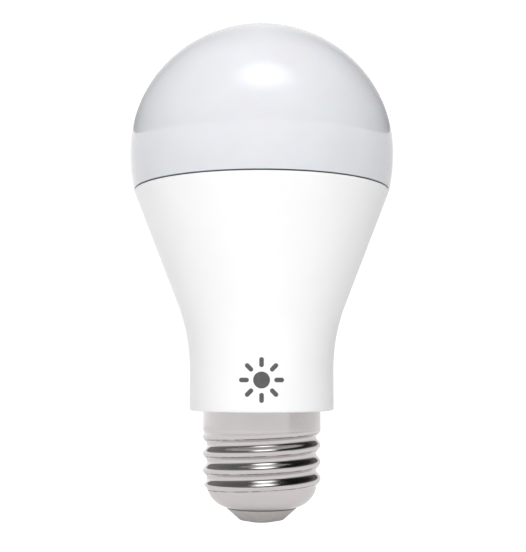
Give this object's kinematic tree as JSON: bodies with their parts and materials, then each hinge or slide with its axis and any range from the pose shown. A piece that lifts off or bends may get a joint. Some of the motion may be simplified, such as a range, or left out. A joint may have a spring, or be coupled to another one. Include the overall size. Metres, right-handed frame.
{
  "type": "smart light bulb",
  "caption": "Pear-shaped smart light bulb: opal globe on a white tapering housing with a medium screw base, LED board, radio board and driver electronics inside.",
  "frame": {"origin": "lowest point of the centre contact, on the bulb's axis", "axes": "+Z along the bulb's axis, from the screw base towards the globe; -Y faces the printed pictogram"},
  "size_m": [0.0592, 0.0592, 0.1107],
  "materials": {
    "opal_plastic": "opal, satin",
    "white_plastic": "satin moulded white",
    "seal_rubber": "matte dark grey",
    "nickel_plate": "bright nickel plating",
    "grey_insulator": "moulded grey",
    "contact_brass": "tin-plated brass",
    "cast_aluminium": "stamped, bare",
    "silicone_pad": "matte",
    "white_solder_mask": "white solder mask",
    "green_solder_mask": "green solder mask",
    "led_body": "white body with phosphor window",
    "colour_led_body": "white body with clear window",
    "zinc_steel": "zinc-plated",
    "tinned_steel": "tinned",
    "black_plastic": "moulded black",
    "capacitor_sleeve": "shrink sleeve",
    "film_yellow": "moulded box",
    "varistor_blue": "epoxy coating",
    "ferrite": "sintered ferrite",
    "winding_tape": "polyester tape",
    "copper_wire": "bare copper",
    "resistor_sleeve": "woven glass sleeve",
    "lead_insulation_black": "wire insulation",
    "lead_insulation_white": "wire insulation"
  },
  "bodies": {
    "root": {"globe_diffuser": "opal_plastic", "globe_seal": "seal_rubber", "housing_shell": "white_plastic", "screw_shell": "nickel_plate", "base_insulator": "grey_insulator", "centre_contact": "contact_brass", "heatsink_cup": "cast_aluminium", "thermal_pad": "silicone_pad", "led_board": "white_solder_mask", "radio_board": "green_solder_mask", "radio_shield_can": "tinned_steel", "antenna": "copper_wire", "radio_header": "black_plastic", "driver_board": "green_solder_mask", "input_capacitor": "capacitor_sleeve", "output_capacitor": "capacitor_sleeve", "transformer_core": "ferrite", "transformer_bobbin": "black_plastic", "transformer_winding": "winding_tape", "film_capacitor": "film_yellow", "filter_inductor": "ferrite", "varistor": "varistor_blue", "fusible_resistor": "resistor_sleeve", "bridge_rectifier": "black_plastic", "driver_chip": "black_plastic", "radio_supply_chip": "black_plastic", "output_rectifier": "black_plastic", "line_lead": "lead_insulation_black", "neutral_lead": "lead_insulation_white", "supply_socket": "black_plastic", "supply_pin_1": "tinned_steel", "supply_pin_2": "tinned_steel", "white_led_01": "led_body", "white_led_02": "led_body", "white_led_03": "led_body", "white_led_04": "led_body", "white_led_05": "led_body", "white_led_06": "led_body", "white_led_07": "led_body", "white_led_08": "led_body", "white_led_09": "led_body", "white_led_10": "led_body", "white_led_11": "led_body", "white_led_12": "led_body", "colour_led_1": "colour_led_body", "colour_led_2": "colour_led_body", "colour_led_3": "colour_led_body", "colour_led_4": "colour_led_body", "board_screw_1": "zinc_steel", "board_screw_2": "zinc_steel", "board_screw_3": "zinc_steel"}
  },
  "joints": []
}
